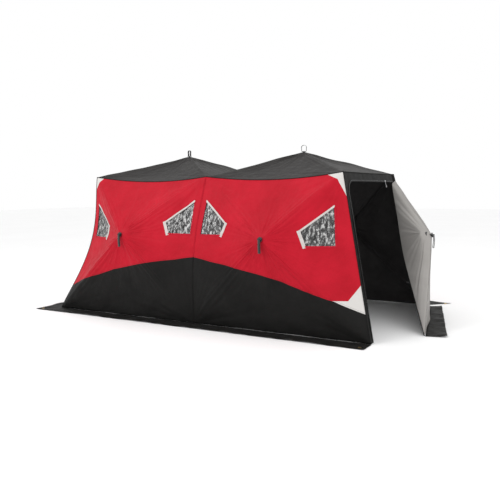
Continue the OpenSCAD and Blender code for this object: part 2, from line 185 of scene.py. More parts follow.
class N:
    """Small helper for shader nodes."""

    def __init__(self, tree):
        self.t = tree

    def add(self, kind, inputs=None, **props):
        n = self.t.nodes.new(kind)
        for k, v in props.items():
            setattr(n, k, v)
        for k, v in (inputs or {}).items():
            if isinstance(v, bpy.types.NodeSocket):
                self.t.links.new(v, n.inputs[k])
            else:
                n.inputs[k].default_value = v
        return n

    def math(self, op, a, b=0.0, clamp=False):
        return self.add("ShaderNodeMath", {0: a, 1: b}, operation=op, use_clamp=clamp).outputs[0]

    def uv(self):
        return self.add("ShaderNodeUVMap").outputs[0]

    def noise(self, vec, scale, detail=3.0, rough=0.5):
        return self.add("ShaderNodeTexNoise", {"Vector": vec, "Scale": scale, "Detail": detail,
                                               "Roughness": rough}).outputs[0]

    def mix(self, fac, a, b):
        n = self.add("ShaderNodeMix", data_type="RGBA")
        for i, v in ((0, fac), (6, a), (7, b)):
            if isinstance(v, bpy.types.NodeSocket):
                self.t.links.new(v, n.inputs[i])
            elif i == 0:
                n.inputs[i].default_value = v
            else:
                n.inputs[i].default_value = (*v, 1)
        return n.outputs[2]

    def ramp(self, fac, stops, mode="LINEAR"):
        n = self.add("ShaderNodeValToRGB", {"Fac": fac})
        r = n.color_ramp
        r.interpolation = mode
        while len(r.elements) < len(stops):
            r.elements.new(0.5)
        for e, (p, c) in zip(r.elements, stops):
            e.position = p
            e.color = (c, c, c, 1) if isinstance(c, float) else (*c, 1)
        return n.outputs[0]

    def bump(self, height, strength, distance, normal=None):
        i = {"Height": height, "Strength": strength, "Distance": distance}
        if normal is not None:
            i["Normal"] = normal
        return self.add("ShaderNodeBump", i).outputs[0]


def cloth_bumps(n, uv, crumple=0.5):
    big = n.noise(uv, 5.0, 5.0, 0.55)
    weave = n.add("ShaderNodeTexWave", {"Vector": uv, "Scale": 120.0, "Distortion": 0.3}, bands_direction="X")
    weft = n.add("ShaderNodeTexWave", {"Vector": uv, "Scale": 120.0, "Distortion": 0.3}, bands_direction="Y")
    fine = n.math("ADD", weave.outputs[1], weft.outputs[1])
    a = n.bump(big, crumple, 0.03)
    return n.bump(fine, 0.12, 0.0006, a)


def cloth(name, dark, light, rough=0.7, sheen=0.15, crumple=0.5, scale=3.0):
    m, t, p = new_material(name)
    n = N(t)
    uv = n.uv()
    f = n.noise(uv, scale, 6.0, 0.6)
    t.links.new(n.ramp(f, [(0.3, dark), (0.7, light)]), p.inputs["Base Color"])
    rr = n.noise(uv, 14.0, 3.0)
    t.links.new(n.math("ADD", n.math("MULTIPLY", rr, 0.2), rough - 0.1), p.inputs["Roughness"])
    t.links.new(cloth_bumps(n, uv, crumple), p.inputs["Normal"])
    p.inputs["Sheen Weight"].default_value = sheen * 0.12
    p.inputs["Specular IOR Level"].default_value = 0.12
    p.inputs["Sheen Roughness"].default_value = 0.5
    return m


RED_D, RED_L = (0.38, 0.004, 0.014), (0.49, 0.007, 0.022)
BLK_D, BLK_L = (0.0050, 0.0048, 0.0045), (0.0100, 0.0096, 0.0090)
GREY = (0.60, 0.58, 0.56)


def halfplane(n, uv, p, q):
    """Positive on the left of the line from p to q, in metres."""
    d = np.array(q, float) - np.array(p, float)
    d /= np.linalg.norm(d)
    a, b = -d[1], d[0]
    dot = n.add("ShaderNodeVectorMath", {0: uv, 1: (a, b, 0.0)}, operation="DOT_PRODUCT").outputs["Value"]
    return n.math("SUBTRACT", dot, a * p[0] + b * p[1])


def wall_cloth(name, profile, trims):
    """Red above and black below a curved seam, with light trims at the corners."""
    m, t, p = new_material(name)
    n = N(t)
    uv = n.uv()
    xyz = n.add("ShaderNodeSeparateXYZ", {0: uv})
    x = n.math("DIVIDE", n.math("ABSOLUTE", xyz.outputs[0]), 2.25)
    line = n.ramp(x, [(a / 2.25, b) for a, b in profile], "B_SPLINE")
    height = n.math("SUBTRACT", xyz.outputs[1], line)
    above = n.math("GREATER_THAN", height, 0.0)
    tone = n.noise(uv, 2.5, 5.0, 0.6)
    red = n.ramp(tone, [(0.3, RED_D), (0.7, RED_L)])
    black = n.ramp(tone, [(0.3, BLK_D), (0.7, BLK_L)])
    col = n.mix(above, black, red)
    for side_test, lines in trims:
        best = None
        for a, b in lines:
            h = halfplane(n, uv, a, b)
            best = h if best is None else n.math("MAXIMUM", best, h)
        inside = n.math("GREATER_THAN", best, 0.0)
        inside = n.math("MULTIPLY", inside, above)
        for a, b in side_test:
            inside = n.math("MULTIPLY", inside, n.math("GREATER_THAN", halfplane(n, uv, a, b), 0.0))
        col = n.mix(inside, col, GREY)
    # a stitched line along the seam between the colours
    near = n.math("LESS_THAN", n.math("ABSOLUTE", n.math("SUBTRACT", height, 0.012)), 0.0016)
    dash = n.math("GREATER_THAN", n.math("SINE", n.math("MULTIPLY", xyz.outputs[0], 700.0)), -0.2)
    col = n.mix(n.math("MULTIPLY", n.math("MULTIPLY", near, dash), 0.7), col, BLK_L)
    t.links.new(col, p.inputs["Base Color"])
    rr = n.noise(uv, 14.0, 3.0)
    t.links.new(n.math("ADD", n.math("MULTIPLY", rr, 0.22), 0.46), p.inputs["Roughness"])
    t.links.new(cloth_bumps(n, uv, 0.55), p.inputs["Normal"])
    p.inputs["Sheen Weight"].default_value = 0.015
    p.inputs["Specular IOR Level"].default_value = 0.12
    return m


SIDE_SEAM = [(0.0, 0.80), (0.25, 0.76), (0.72, 0.70), (1.2, 0.58), (1.44, 0.52), (1.8, 0.41), (2.02, 0.32),
             (2.25, 0.25)]
END_SEAM = [(0.0, 0.66), (0.4, 0.64), (0.8, 0.54), (1.2, 0.34), (2.25, 0.2)]
# Lines run so that the trim is on their left. The first list of each trim limits where it may be.
WALL = wall_cloth("wall_cloth", SIDE_SEAM, [
    ([((1.2, 0.0), (1.2, -1.0))], [((1.50, 1.765), (1.705, 1.69)), ((1.705, 1.69), (1.84, 1.46))]),
    ([((1.2, 0.0), (1.2, -1.0)), ((3.0, 0.62), (1.0, 0.62))],
     [((1.925, 0.42), (1.70, 0.42)), ((2.06, 0.62), (1.925, 0.42))]),
    ([((-1.2, -1.0), (-1.2, 0.0))], [((-1.86, 1.50), (-1.60, 1.80))]),
])
END = wall_cloth("end_wall_cloth", END_SEAM, [])
LINING = cloth("black_lining", (0.040, 0.038, 0.038), (0.064, 0.061, 0.061), 0.75, 0.1, 0.6)
ROOF = cloth("roof_cloth", (0.016, 0.0145, 0.014), (0.026, 0.024, 0.023), 0.62, 0.25, 0.6)
SKIRT_M = cloth("skirt_cloth", (0.0045, 0.0042, 0.0038), (0.0095, 0.0088, 0.0080), 0.6, 0.1, 0.9, 6.0)
FLAP = cloth("grey_cloth", (0.31, 0.295, 0.28), (0.37, 0.355, 0.34), 0.68, 0.15, 0.45)
TRIM = cloth("trim_tape", (0.50, 0.47, 0.45), (0.60, 0.57, 0.55), 0.7, 0.1, 0.2, 20.0)
BIND = cloth("binding", (0.0060, 0.0058, 0.0056), (0.012, 0.0115, 0.011), 0.65, 0.1, 0.2, 20.0)
REDBIND = cloth("red_binding", (0.36, 0.006, 0.018), (0.48, 0.010, 0.028), 0.6, 0.1, 0.2, 20.0)


def webbing():
    m, t, p = new_material("webbing")
    n = N(t)
    uv = n.uv()
    w = n.add("ShaderNodeTexWave", {"Vector": uv, "Scale": 90.0, "Distortion": 0.5}, bands_direction="Y")
    t.links.new(n.ramp(w.outputs[1], [(0.2, (0.008, 0.008, 0.008)), (0.8, (0.03, 0.03, 0.03))]),
                p.inputs["Base Color"])
    t.links.new(n.bump(w.outputs[1], 0.6, 0.0015), p.inputs["Normal"])
    t.links.new(n.math("ADD", n.math("MULTIPLY", n.noise(uv, 60.0), 0.2), 0.55), p.inputs["Roughness"])
    p.inputs["Sheen Weight"].default_value = 0.2
    return m


def hard(name, dark, light, rough, metal=0.0, scale=60.0, bump=0.1, coat=0.0):
    m, t, p = new_material(name)
    n = N(t)
    pos = n.add("ShaderNodeTexCoord").outputs["Object"]
    f = n.noise(pos, scale, 5.0, 0.6)
    t.links.new(n.ramp(f, [(0.3, dark), (0.7, light)]), p.inputs["Base Color"])
    t.links.new(n.math("ADD", n.math("MULTIPLY", f, 0.2), rough - 0.1), p.inputs["Roughness"])
    t.links.new(n.bump(n.noise(pos, scale * 8, 3.0), bump, 0.0006), p.inputs["Normal"])
    p.inputs["Metallic"].default_value = metal
    p.inputs["Coat Weight"].default_value = coat
    return m


def vinyl():
    m, t, p = new_material("clear_vinyl")
    n = N(t)
    uv = n.uv()
    warp = n.add("ShaderNodeMapping", {"Vector": uv, "Scale": (1.0, 0.45, 1.0),
                                       "Rotation": (0, 0, 0.6)}).outputs[0]
    crease = n.noise(warp, 34.0, 6.0, 0.72)
    # painted highlights: the pane's base colour turns pale along the crease ridges, standing in for
    # reflections on the vinyl
    shine = n.ramp(crease, [(0.44, (0.012, 0.012, 0.012)), (0.53, (0.16, 0.16, 0.16)),
                            (0.60, (0.62, 0.62, 0.61)), (0.72, (0.10, 0.10, 0.10))])
    t.links.new(shine, p.inputs["Base Color"])
    t.links.new(n.ramp(crease, [(0.42, 0.60), (0.62, 0.92)]), p.inputs["Alpha"])
    t.links.new(n.math("ADD", n.math("MULTIPLY", crease, 0.15), 0.05), p.inputs["Roughness"])
    t.links.new(n.bump(crease, 0.9, 0.012), p.inputs["Normal"])
    p.inputs["Coat Weight"].default_value = 0.6
    p.inputs["Coat Roughness"].default_value = 0.06
    m.surface_render_method = "BLENDED"
    return m


WEBBING = webbing()
PLASTIC = hard("moulded_nylon", (0.012, 0.012, 0.012), (0.025, 0.025, 0.026), 0.48, bump=0.15)
POLE = hard("fibreglass", (0.010, 0.010, 0.011), (0.022, 0.022, 0.023), 0.32, coat=0.4, bump=0.06)
STEEL = hard("steel_ferrule", (0.55, 0.55, 0.56), (0.68, 0.68, 0.69), 0.3, 1.0)
BRASS = hard("rolled_brass", (0.62, 0.44, 0.16), (0.78, 0.58, 0.26), 0.3, 1.0)
ZIP = hard("zip_coil", (0.012, 0.012, 0.012), (0.03, 0.03, 0.03), 0.4)
VINYL = vinyl()


# ---- Mesh helpers ----
def make(name, verts, faces, mats, uv=None, mi=None, smooth=True):
    me = bpy.data.meshes.new(name)
    me.from_pydata([tuple(v) for v in verts], [], faces)
    for m in mats:
        me.materials.append(m)
    layer = me.uv_layers.new(name="UVMap")
    if uv is None:
        uv = [(v[0] + v[1], v[2]) for v in verts]
    idx = np.zeros(len(me.loops), int)
    me.loops.foreach_get("vertex_index", idx)
    layer.data.foreach_set("uv", np.array(uv, float)[idx].ravel())
    if mi is not None:
        me.polygons.foreach_set("material_index", mi)
    me.polygons.foreach_set("use_smooth", [smooth] * len(me.polygons))
    me.validate()
    me.update()
    o = bpy.data.objects.new(name, me)
    scene.collection.objects.link(o)
    return o


def tube(path, radii, sides=12):
    """Verts, faces and uvs of a round tube along a path, with closed ends."""
    path = [np.array(p, float) for p in path]
    verts, faces, uvs = [], [], []
    ref = V(0, 0, 1) if abs(unit(path[-1] - path[0])[2]) < 0.9 else V(1, 0, 0)
    length = 0.0
    for i, p in enumerate(path):
        d = unit(path[min(i + 1, len(path) - 1)] - path[max(i - 1, 0)])
        a = unit(np.cross(ref, d))
        b = np.cross(d, a)
        if i:
            length += np.linalg.norm(p - path[i - 1])
        r = radii[i] if hasattr(radii, "__len__") else radii
        for k in range(sides):
            w = 2 * math.pi * k / sides
            verts.append(p + r * (math.cos(w) * a + math.sin(w) * b))
            uvs.append((length, k / sides * 2 * math.pi * r))
    for i in range(len(path) - 1):
        for k in range(sides):
            a, b = i * sides + k, i * sides + (k + 1) % sides
            faces.append((a, b, b + sides, a + sides))
    faces.append(tuple(range(sides))[::-1])
    faces.append(tuple((len(path) - 1) * sides + k for k in range(sides)))
    return verts, faces, uvs


def joined(name, parts, mats, smooth=True):
    verts, faces, uvs, mi = [], [], [], []
    for part in parts:
        v, f, u = part[:3]
        k = len(verts)
        verts += list(v)
        uvs += list(u)
        faces += [tuple(i + k for i in q) for q in f]
        mi += [part[3] if len(part) > 3 else 0] * len(f)
    return make(name, verts, faces, mats, uvs, mi, smooth)


def ribbon(path, across, width, thick):
    """A flat band along a path. across is its width's direction."""
    path = [np.array(p, float) for p in path]
    verts, faces, uvs = [], [], []
    s = 0.0
    for i, p in enumerate(path):
        d = unit(path[min(i + 1, len(path) - 1)] - path[max(i - 1, 0)])
        a = across(i) if callable(across) else across
        a = unit(a - np.dot(a, d) * d)
        b = np.cross(d, a)
        if i:
            s += np.linalg.norm(p - path[i - 1])
        for x, y in ((-1, -1), (1, -1), (1, 1), (-1, 1)):
            verts.append(p + x * width / 2 * a + y * thick / 2 * b)
            uvs.append((x * width / 2, s))
    for i in range(len(path) - 1):
        for k in range(4):
            a, b = i * 4 + k, i * 4 + (k + 1) % 4
            faces.append((a, b, b + 4, a + 4))
    faces.append((3, 2, 1, 0))
    e = 4 * (len(path) - 1)
    faces.append((e, e + 1, e + 2, e + 3))
    return verts, faces, uvs


def wave(x, seed, octaves=5, base=1.0):
    """A smooth repeatable wobble of x."""
    r = np.random.default_rng(seed)
    out = np.zeros_like(x)
    for k in range(octaves):
        size = r.uniform(0.5, 1)
        phase = base * (k + 1) * r.uniform(0.8, 1.3) * x + r.uniform(0, 6.28)
        out += size * np.sin(phase) / (k + 1) ** 0.6
    return out / 1.8


# ---- A bay of fabric: one curved sheet from its four edges up to its hub ----
COLS, ROWS, SKIN = 56, 50, 0.005     # columns per edge, rows to the hub, thickness


def bay_points(edges, hub, n, seed, dip=0.03, crease=0.010, corner=0.016, start=0.006):
    """Grid of points, columns round the edges and rows out from the hub."""
    ring = [np.array([edges[i](f) for f in np.linspace(0, 1, COLS, endpoint=False)]) for i in range(4)]
    ring = np.concatenate(ring)
    corners = [edges[i](0.0) for i in range(4)]
    r = start + (1 - start) * np.linspace(0, 1, ROWS + 1) ** 0.85
    s = np.arange(4 * COLS) / COLS
    f = s % 1.0
    P = hub[None, None] + r[None, :, None] * (ring[:, None] - hub)
    hold = (1 - r ** 12) * np.clip((r - 0.05) / 0.1, 0, 1)
    # cloth pulls in between the poles
    D = -dip * (4 * f * (1 - f))[:, None] * (4 * r * (1 - r))[None] ** 0.8
    # the crest over each pole is rounded
    near = np.minimum(f, 1 - f)[:, None] * 1.7 * r[None]
    D += -0.010 * np.exp(-(near / 0.028) ** 2) * np.clip(r * 6, 0, 1)[None]
    # creases from the hub, fading outwards
    fade = np.exp(-r / 0.5) * np.clip(r / 0.15, 0, 1)
    D += crease * wave(s * 2 * math.pi, seed, 9, 3.0)[:, None] * fade[None]
    # slack folds that run beside the poles
    D += 0.006 * np.sin(near * 95 + seed) * np.exp(-near / 0.10) * (4 * r * (1 - r))[None]
    # creases from each corner
    ex = unit(np.cross(n, UP)) if abs(n[2]) < 0.9 else V(1, 0, 0)
    ey = np.cross(n, ex)
    for k, c in enumerate(corners):
        d = P - c
        dist = np.linalg.norm(d, axis=2)
        ang = np.arctan2(d @ ey, d @ ex)
        D += corner * wave(ang * 9, seed + 20 + k, 4, 1.6) * np.exp(-dist / 0.42) * (1 - np.exp(-dist / 0.10))
    # broad slack
    D += 0.008 * wave(P @ ex * 3.1 + P @ ey * 1.3, seed + 40, 4, 1.4)
    D *= hold[None]
    return P + D[..., None] * n


def bay(name, edges, hub, n, uvf, outer, seed, **kw):
    P = bay_points(edges, hub, n, seed, **kw)
    C, R = P.shape[:2]
    out = P.reshape(-1, 3)
    inn = (P - SKIN * n).reshape(-1, 3)
    verts = np.concatenate([out, inn])
    k = len(out)
    flipped = np.dot(np.cross(P[0, R - 1] - hub, P[5, R - 1] - hub), n) < 0
    faces, mi = [], []

    def add(q, m):
        faces.append(q[::-1] if flipped else q)
        mi.append(m)
    for c in range(C):
        d = (c + 1) % C
        for j in range(R - 1):
            a, b, e, g = c * R + j, c * R + j + 1, d * R + j + 1, d * R + j
            add((a, b, e, g), 0)
            add((a + k, g + k, e + k, b + k), 1)
        a, g = c * R + R - 1, d * R + R - 1
        add((a, a + k, g + k, g), 1)
        a, g = c * R, d * R
        add((a, g, g + k, a + k), 1)
    uv = [uvf(v) for v in verts]
    return make(name, verts, faces, [outer, LINING], uv, mi), BVHTree.FromPolygons(
        [tuple(v) for v in out], [f for f, m in zip(faces, mi) if m == 0])


def surface(tree, p, n, lift=0.0):
    """The point of the cloth straight in from p."""
    hit = tree.ray_cast(Vector(p + 0.8 * n), Vector(-n), 3.0)
    return np.array(hit[0]) + lift * n if hit[0] is not None else np.array(p)


def cut_window(o, corners, n):
    """Opens the sheet along a polygon, through both of its faces."""
    bm = bmesh.new()
    bm.from_mesh(o.data)
    pts = [np.array(c) for c in corners]
    mid = sum(pts) / len(pts)
    reach = max(np.linalg.norm(p - mid) for p in pts) + 0.09
    planes = []
    for i, p in enumerate(pts):
        q = pts[(i + 1) % len(pts)]
        no = unit(np.cross(q - p, n))
        if np.dot(mid - p, no) < 0:
            no = -no
        planes.append((p, no))
    flat = lambda v: np.array(v) - np.dot(np.array(v) - mid, n) * n
    for p, no in planes:
        near = [f for f in bm.faces if np.linalg.norm(flat(f.calc_center_median()) - mid) < reach
                and abs(np.dot(np.array(f.calc_center_median()) - mid, n)) < 0.25]
        geom = set(near)
        for f in near:
            geom.update(f.edges)
            geom.update(f.verts)
        bmesh.ops.bisect_plane(bm, geom=list(geom), plane_co=Vector(p), plane_no=Vector(no), dist=1e-5)
    dead = [f for f in bm.faces if abs(np.dot(np.array(f.calc_center_median()) - mid, n)) < 0.25
            and all(np.dot(np.array(f.calc_center_median()) - p, no) > 1e-6 for p, no in planes)]
    bmesh.ops.delete(bm, geom=dead, context="FACES")
    rim = [e for e in bm.edges if e.is_boundary]
    if rim:
        bmesh.ops.bridge_loops(bm, edges=rim)
    bm.to_mesh(o.data)
    bm.free()


def side_uv(v):
    return (v[0], v[2])


# Window corners as x and z on the wall
OUTER_WINDOW = [(1.700, 1.392), (1.742, 0.975), (1.441, 0.973), (1.375, 1.129)]
INNER_WINDOW = [(0.085, 1.445), (0.075, 1.060), (0.367, 1.065), (0.420, 1.196)]


def window_parts(tree, pts, n, sx, seed):
    """A crinkled pane, its tape and its binding."""
    A, B, C, D = [np.array(p) for p in pts]
    nu, nv = 26, 26
    verts, faces, uvs = [], [], []
    r = np.random.default_rng(seed)
    ph = r.uniform(0, 6.28, 8)
    grow = 1.03
    mid = (A + B + C + D) / 4
    for i in range(nu + 1):
        for j in range(nv + 1):
            u, v = i / nu, j / nv
            p = (1 - u) * (1 - v) * A + u * (1 - v) * B + u * v * C + (1 - u) * v * D
            p = mid + grow * (p - mid)
            q = surface(tree, p, n, -0.0065)
            x, z = u * 9, v * 9
            edge = min(1, 8 * u * (1 - u)) * min(1, 8 * v * (1 - v))
            w = (math.sin(x * 1.7 + 1.3 * z + ph[0]) + math.sin(2.6 * x - 1.1 * z + ph[1])
                 + 0.8 * math.sin(3.9 * z + 0.7 * x + ph[2]) + 0.6 * math.sin(5.3 * x + 2.9 * z + ph[3]))
            verts.append(q + n * 0.0022 * w * edge)
            uvs.append((p[0] * sx + 3.1 * sx, p[2]))
    for i in range(nu):
        for j in range(nv):
            a = i * (nv + 1) + j
            faces.append((a, a + 1, a + nv + 2, a + nv + 1))
    pane = (verts, faces, uvs)
    tapes, binds = [], []
    for k in range(4):
        p, q = (A, B, C, D)[k], (A, B, C, D)[(k + 1) % 4]
        hubside = k in (2, 3)
        width = {2: 0.034, 3: 0.017}.get(k, 0.014)
        outw = unit(np.cross(q - p, n))
        if np.dot(outw, mid - p) > 0:
            outw = -outw
        m = 18
        vs, fs, us = [], [], []
        e = unit(q - p) * width * 0.5
        for i in range(m + 1):
            t = i / m
            base = (p - e) * (1 - t) + (q + e) * t
            for j, off in enumerate((-0.004, width * 0.5, width)):
                vs.append(surface(tree, base + off * outw, n, (0.0016, 0.0030, 0.0016)[j]))
                us.append((t * np.linalg.norm(q - p), off))
        for i in range(m):
            for j in range(2):
                a = i * 3 + j
                fs.append((a, a + 1, a + 4, a + 3))
        # its underside, so that the tape has a thickness
        top = len(vs)
        vs += [v - 0.0014 * n for v in vs]
        us += us[:]
        fs += [tuple(i + top for i in f[::-1]) for f in fs]
        (tapes if hubside else binds).append((vs, fs, us))
    return pane, tapes, binds


def area_of(o):
    return sum(p.area for p in o.data.polygons)


def declare(o):
    """Works out half of the piece's area and a rectangle round it; nothing is stored or returned."""
    a = area_of(o) / 2
    co = np.array([v.co for v in o.data.vertices])
    ext = sorted(co.max(0) - co.min(0))
    w, l = ext[1] + 0.12, ext[2] + 0.12
    if a > w * l or a < 0.32 * w * l:
        l = l if a > w * l else w + l
        w = a / l * 1.01


def finish_blend(o):
    """Bakes the object's transform into its mesh."""
    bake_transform(o)


BAYS = {}
for sy, wall in ((-1, "front"), (1, "back")):
    for sx, sidename in ((-1, "left"), (1, "right")):
        key = f"{wall}_{sidename}"
        n, hub = side_normal(sy), side_hub(sx, sy)
        edges = [top_edge(sx, sy), corner_edge(sx, sy), flip(base_edge(sx, sy)), flip(corner_edge(0, sy))]
        o, tree = bay(f"{key}_fabric", edges, hub, n, side_uv, WALL, 3 + len(BAYS) * 7)
        panes, tapes, binds = [], [], []
        for w, outline in enumerate((INNER_WINDOW,) if sy > 0 else (OUTER_WINDOW, INNER_WINDOW)):
            flatpts = []
            for x, z in outline:
                k = z / TOP
                flatpts.append(V(sx * x, sy * (BASE_W + (ROOF_W - BASE_W) * k), z))
            # windows are placed by their x and z, so slide each point along y to the cloth
            pts = []
            for p in flatpts:
                hit = tree.ray_cast(Vector((p[0], sy * 3.0, p[2])), Vector((0, -sy, 0)), 4.0)
                pts.append(np.array(hit[0]))
            m = unit(np.cross(pts[1] - pts[0], pts[2] - pts[0]))
            if np.dot(m, n) < 0:
                m = -m
            pane, tp, bd = window_parts(tree, pts, m, sx, 31 + 5 * len(BAYS) + w)
            panes.append(pane)
            tapes += tp
            binds += bd
            cut_window(o, pts, m)
        win = joined(f"{key}_windows", panes, [VINYL])
        tape = joined(f"{key}_window_tape", [t + (0,) for t in tapes] + [b + (1,) for b in binds],
                      [TRIM, REDBIND])
        declare(o)
        for piece in (o, win, tape):
            finish_blend(piece)
        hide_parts(f"{key}_wall", f"{key}_patch")
        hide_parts(f"{wall}_windows")
        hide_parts("window_trims")
        BAYS[key] = (n, hub)

# Left end wall
n, hub = end_normal(-1), end_hub(-1)
end_edges = [end_top_edge(-1), corner_edge(-1, 1), flip(end_base_edge(-1)), flip(corner_edge(-1, -1))]
o, tree = bay("left_end_fabric", end_edges, hub, n, lambda v: (v[1], v[2]), END, 61, dip=0.05)
declare(o)
finish_blend(o)
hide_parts("left_end_wall", "left_end_patch")

# Roof bays
for sx, sidename in ((-1, "left"), (1, "right")):
    key = f"roof_{sidename}"
    n, hub = UP, roof_hub(sx)
    front, back = top_edge(sx, -1), top_edge(sx, 1)
    o, tree = bay(f"{key}_fabric", [front, end_top_edge(sx), flip(back), flip(valley)], hub, n,
                  lambda v: (v[0], v[1]), ROOF, 71 + sx, dip=0.02, corner=0.012)
    declare(o)
    finish_blend(o)
    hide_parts(key, f"{key}_patch")


# Bound seams where the sheets meet
def seam(f, r, start=0.0, end=1.0, m=60):
    return tube([f(t) for t in np.linspace(start, end, m)], r, 8)


parts = []
for sx in (-1, 1):
    for sy in (-1, 1):
        parts.append(seam(top_edge(sx, sy), 0.0055) + (0,))
        parts.append(seam(corner_edge(sx, sy), 0.0050) + (0,))
    parts.append(seam(end_top_edge(sx), 0.0055) + (0,))
for sy in (-1, 1):
    parts.append(seam(corner_edge(0, sy), 0.0045, 0.0, 0.545) + (1,))
    parts.append(seam(corner_edge(0, sy), 0.0045, 0.545, 1.0) + (0,))
parts.append(seam(valley, 0.005) + (0,))
bindings = joined("seam_binding", parts, [BIND, REDBIND])
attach(bindings, "shelter")

# ---- Poles: straight, from near each hub out to its brackets ----
def pole_parts(hub, n, ends, bow=0.0):
    mid = hub - DEPTH * n
    out = []
    for c in ends:
        d0 = (c - mid) - np.dot(c - mid, n) * n
        pin = mid + 0.036 * unit(d0)
        d = unit(c - pin)
        e = c - 0.034 * d
        m = 30
        path = [pin + (e - pin) * t + bow * bump1(t) * n for t in np.linspace(0, 1, m)]
        out.append(tube(path, POLE_R, 14) + (0,))
        out.append(tube([pin - 0.009 * d + 0.055 * d * t for t in np.linspace(0, 1, 4)],
                        FERRULE_R, 16) + (1,))
    return out


def side_ends(sx, sy):
    return [top_bracket(0, sy), top_bracket(sx, sy), base_bracket(sx, sy), base_bracket(0, sy)]


frames = {f"{w}_{s}": (side_normal(sy), side_hub(sx, sy), side_ends(sx, sy), SIDE_BULGE, 0.16)
          for sy, w in ((-1, "front"), (1, "back")) for sx, s in ((-1, "left"), (1, "right"))}
end_ends = [top_bracket(-1, -1), top_bracket(-1, 1), base_bracket(-1, 1), base_bracket(-1, -1)]
frames["left_end"] = (end_normal(-1), end_hub(-1), end_ends, END_BULGE, 0.14)
for sx, s in ((-1, "left"), (1, "right")):
    frames[f"roof_{s}"] = (UP, roof_hub(sx), [top_bracket(0, -1), top_bracket(sx, -1), top_bracket(sx, 1),
                                              top_bracket(0, 1)], ROOF_HUB - TOP, 0.05)
for key, (n, hub, ends, bulge, low) in frames.items():
    o = joined(f"{key}_bent_poles", pole_parts(hub, n, ends), [POLE, STEEL])
    finish_blend(o)
    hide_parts(f"{key}_poles")


# ---- Pull straps ----
def strap(name, hub, n):
    s = unit(np.cross(n, UP))
    pin = hub + 0.020 * n
    out = unit(V(n[0], n[1], 0))
    r, long = 0.0052, STRAP_LONG
    path = [pin + r * (math.cos(a) * out + math.sin(a) * UP) for a in np.linspace(-0.1, math.pi + 0.1, 14)]
    back = [pin + V(0, 0, -z) + (-r * (1 - z / long * 0.3) + 0.004 * math.sin(z * 30)) * out
            for z in np.linspace(0.004, long - 0.006, 20)]
    turn = [pin + V(0, 0, -long) + 0.006 * (-math.cos(a) * out - math.sin(a) * UP)
            for a in np.linspace(0.15, math.pi - 0.15, 8)]
    front = [pin + V(0, 0, -z) + (r + 0.006 * math.sin(z * 22)) * out
             for z in np.linspace(long - 0.006, 0.004, 20)]
    v, f, u = ribbon(path + back + turn + front, s, STRAP_WIDE, 0.0022)
    return make(name, v, f, [WEBBING], u)


for key, (n, hub) in {**{k: (v[0], v[1]) for k, v in frames.items() if not k.startswith("roof")},
                      "right_end": (right_normal, right_hub)}.items():
    o = strap(f"{key}_pull_strap", hub, n)
    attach(o, f"{key}_strap")
    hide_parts(f"{key}_strap")
for sx, s in ((-1, "left"), (1, "right")):
    hub = roof_hub(sx)
    lean = 0.25 if sx > 0 else -0.2
    c, w = math.cos(lean), math.sin(lean)
    base = hub + V(0, 0, 0.009)
    half = 0.030 if sx > 0 else 0.020
    path = [base + V(-half * c, -half * w, 0.0)]
    for a in np.linspace(math.pi, 0, 22):
        x = (half + 0.012 * math.sin(a)) * math.cos(a)
        path.append(base + V(x * c, x * w, 0.030 + 0.044 * math.sin(a)))
    path.append(base + V(half * c, half * w, 0.0))
    v, f, u = ribbon(path, V(-w, c, 0), 0.024, 0.003)
    o = make(f"roof_{s}_loop", v, f, [WEBBING], u)
    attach(o, f"roof_{s}")
    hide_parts(f"roof_{s}_strap")

# ---- Snow skirt: a strip along the hem, lying loosely on the floor ----
def strip(name, inner, outer, cols, rows, lift, seed, mat, thick=0.0025, eyelets=()):
    """A band of cloth between two lines of points."""
    def along(line, m):
        line = [np.array(p, float) for p in line]
        L = np.cumsum([0] + [np.linalg.norm(b - a) for a, b in zip(line, line[1:])])
        out = []
        for x in np.linspace(0, L[-1], m):
            i = min(np.searchsorted(L, x, side="right") - 1, len(line) - 2)
            out.append(line[i] + (line[i + 1] - line[i]) * (x - L[i]) / (L[i + 1] - L[i]))
        return np.array(out), L[-1]
    a = along(inner, cols + 1)[0]
    b, lb = along(outer, cols + 1)
    q = np.linspace(0, 1, rows + 1)
    P = a[:, None] + q[None, :, None] * (b - a)[:, None]
    s = np.linspace(0, lb, cols + 1)
    Z = lift * (0.5 + 0.5 * wave(s * 3.0, seed, 5, 1.7))[:, None] * (q ** 1.6)[None]
    Z += 0.004 * (0.5 + 0.5 * np.sin(s[:, None] * 17 + q[None] * 5 + seed)) * (q * (1 - q) * 4)[None]
    for e in eyelets:
        d = np.linalg.norm(P[..., :2] - np.array(e)[:2], axis=2)
        Z *= np.clip((d - 0.04) / 0.12, 0, 1)
    P[..., 2] = 0.0008 + np.clip(Z, 0, 0.05)
    C, R = P.shape[:2]
    top = P.reshape(-1, 3) + V(0, 0, thick)
    low = P.reshape(-1, 3)
    k = len(top)
    faces = []
    fl = np.cross(P[1, 0] - P[0, 0], P[0, 1] - P[0, 0])[2] < 0

    def add(f):
        faces.append(f[::-1] if fl else f)
    for i in range(C - 1):
        for j in range(R - 1):
            x = i * R + j
            add((x, x + R, x + R + 1, x + 1))
            add((x + k, x + 1 + k, x + R + 1 + k, x + R + k))
        add((i * R, i * R + k, (i + 1) * R + k, (i + 1) * R))
        x = i * R + R - 1
        add((x, x + R, x + R + k, x + k))
    for j in range(R - 1):
        add((j, j + 1, j + 1 + k, j + k))
        x = (C - 1) * R + j
        add((x, x + k, x + 1 + k, x + 1))
    verts = np.concatenate([top, low])
    return make(name, verts, faces, [mat], [(v[0], v[1]) for v in verts])


eyes = [V(-2.36, 1.395, 0), V(2.36, 1.395, 0), V(-2.36, -1.395, 0), V(2.131, -1.395, 0)]
in_l, in_w = BASE_L - 0.004, BASE_W - 0.004
out_l, out_w = BASE_L + SKIRT, BASE_W + SKIRT
door_l = BASE_L + 0.006
